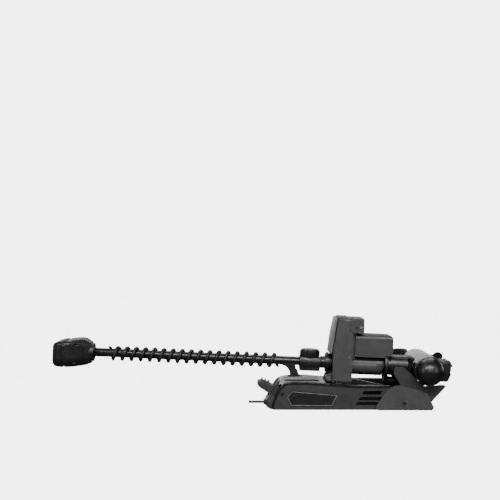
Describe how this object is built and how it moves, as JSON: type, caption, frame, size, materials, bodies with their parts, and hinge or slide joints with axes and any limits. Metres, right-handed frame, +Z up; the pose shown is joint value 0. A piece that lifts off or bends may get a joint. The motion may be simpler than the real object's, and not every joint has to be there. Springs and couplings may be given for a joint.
{
  "type": "trolling motor",
  "caption": "Bow-mount electric trolling motor lying stowed on its deck mount, with coiled cord, steering housing, lower unit and folding linkage.",
  "frame": {"origin": "centre of the deck bolt pattern, on the underside of the base", "axes": "+X outboard along the base, +Y to the propeller side, +Z up from the deck"},
  "size_m": [1.3234, 0.389, 0.2926],
  "materials": {
    "anodized": "satin black anodised aluminium",
    "panel": "fine-textured moulded plastic, dark grey",
    "cover_grey": "fine-textured moulded plastic, mid grey",
    "top_grey": "satin moulded plastic, light grey where it faces up",
    "ramp": "glass-filled plastic, dark grey",
    "housing": "textured glass-filled plastic, dark grey",
    "housing_light": "textured plastic, pale grey",
    "gloss_black": "gloss black composite",
    "black": "satin black plastic",
    "rubber": "matt black rubber",
    "steel": "stainless steel",
    "arm_metal": "black coated steel",
    "bronze": "sintered bronze",
    "can": "grey enamelled aluminium",
    "motor_black": "gloss black enamel",
    "prop": "gloss black glass-filled nylon",
    "badge": "blank black plate",
    "board": "green circuit board",
    "magnet": "ferrite",
    "copper": "wound copper and steel laminations"
  },
  "bodies": {
    "base": {"base_extrusion": "anodized", "side_panel_near": "panel", "side_panel_far": "panel", "inboard_cover": "panel", "top_cover": "top_grey", "outboard_covers": "cover_grey", "motor_ramps": "ramp", "ramp_pads": "rubber", "shaft_rest": "black", "shaft_rest_pad": "rubber", "badge_plates": "badge", "panel_screws": "anodized", "arm_pivot_pins": "steel", "link_base_pin": "steel", "power_cable": "rubber", "cable_grommet": "rubber", "cross_pins": "steel", "ramp_bolts": "anodized"},
    "lever": {"foot_lever": "panel", "foot_pad": "cover_grey"},
    "rod": {"latch_rod": "steel"},
    "hook": {"latch_hook": "steel"},
    "arms": {"swing_arms": "arm_metal", "arm_bushes": "bronze"},
    "link": {"tilt_link": "arm_metal"},
    "housing": {"steering_housing": "housing", "housing_gasket": "rubber", "housing_cover": "housing_light", "housing_pivot_pins": "steel", "top_bracket": "housing", "housing_screws": "steel", "steering_motor_cover": "housing", "steering_motor": "can", "control_board": "board", "sleeve_bearings": "bronze"},
    "pinion": {"pinion": "steel"},
    "steering": {"steer_sleeve": "black", "output_gear": "bronze", "inboard_ring": "black", "depth_collar": "black"},
    "knob": {"collar_knob": "black"},
    "shaft_unit": {"shaft": "gloss_black", "coil_cord": "rubber", "head_shell": "black", "head_cover": "black", "head_board": "board", "head_screws": "steel", "neck": "motor_black", "motor_can": "can", "nose_cone": "motor_black", "rear_bell": "motor_black", "field_magnets": "magnet", "motor_screws": "steel", "motor_bearings": "steel", "skeg": "motor_black", "sonar_housing": "black"},
    "rotor": {"armature": "copper", "propeller": "prop", "prop_nut": "steel"}
  },
  "joints": [
    {"name": "deploy", "type": "hinge", "parent": "base", "child": "arms", "pos_m": [0.15, 0, 0.035], "axis": [0, 1, 0], "range_deg": [0, 160]},
    {"name": "housing_tilt", "type": "hinge", "parent": "arms", "child": "housing", "pos_m": [-0.02, 0, 0.05], "axis": [0, -1, 0], "range_deg": [-0.5, 73]},
    {"name": "link_swing", "type": "hinge", "parent": "base", "child": "link", "pos_m": [0.149, 0, 0.048], "axis": [0, 1, 0], "range_deg": [-0.5, 148]},
    {"name": "steer", "type": "hinge", "parent": "housing", "child": "steering", "pos_m": [0, 0, 0.137], "axis": [0.999, 0, -0.0436], "range_deg": [-67, 0.5]},
    {"name": "pinion_spin", "type": "hinge", "parent": "housing", "child": "pinion", "pos_m": [-0.03561, 0, 0.19261], "axis": [0.999, 0, -0.0436], "range_deg": [-1, 114]},
    {"name": "depth_slide", "type": "slide", "parent": "steering", "child": "shaft_unit", "axis": [0.999, 0, -0.0436], "range_m": [0, 0.4], "deforming": ["coil_cord"]},
    {"name": "propeller_spin", "type": "hinge", "parent": "shaft_unit", "child": "rotor", "pos_m": [0.24377, 0, 0.12636], "axis": [0, 1, 0], "continuous": true},
    {"name": "knob_turn", "type": "hinge", "parent": "steering", "child": "knob", "pos_m": [-0.12818, 0, 0.15861], "axis": [0.0436, 0, 0.999], "range_deg": [0, 360]},
    {"name": "lever_press", "type": "hinge", "parent": "base", "child": "lever", "pos_m": [-0.232, 0, 0.05], "axis": [0, -1, 0], "range_deg": [0, 20], "stiffness_Nm_per_rad": 2},
    {"name": "hook_release", "type": "hinge", "parent": "base", "child": "hook", "pos_m": [-0.045, 0, 0.03], "axis": [0, -1, 0], "range_deg": [-0.5, 20.5]},
    {"name": "rod_push", "type": "slide", "parent": "base", "child": "rod", "axis": [1, 0, 0], "range_m": [-0.0002, 0.0058]}
  ],
  "couplings": [
    {"joint": "housing_tilt", "follows": "deploy", "ratio": 0.45312},
    {"joint": "link_swing", "follows": "deploy", "ratio": 0.92},
    {"joint": "steer", "follows": "deploy", "ratio": -0.4125},
    {"joint": "pinion_spin", "follows": "deploy", "ratio": 0.70125},
    {"joint": "hook_release", "follows": "lever_press", "ratio": 1},
    {"joint": "rod_push", "follows": "lever_press", "m_per_rad": 0.015756}
  ]
}
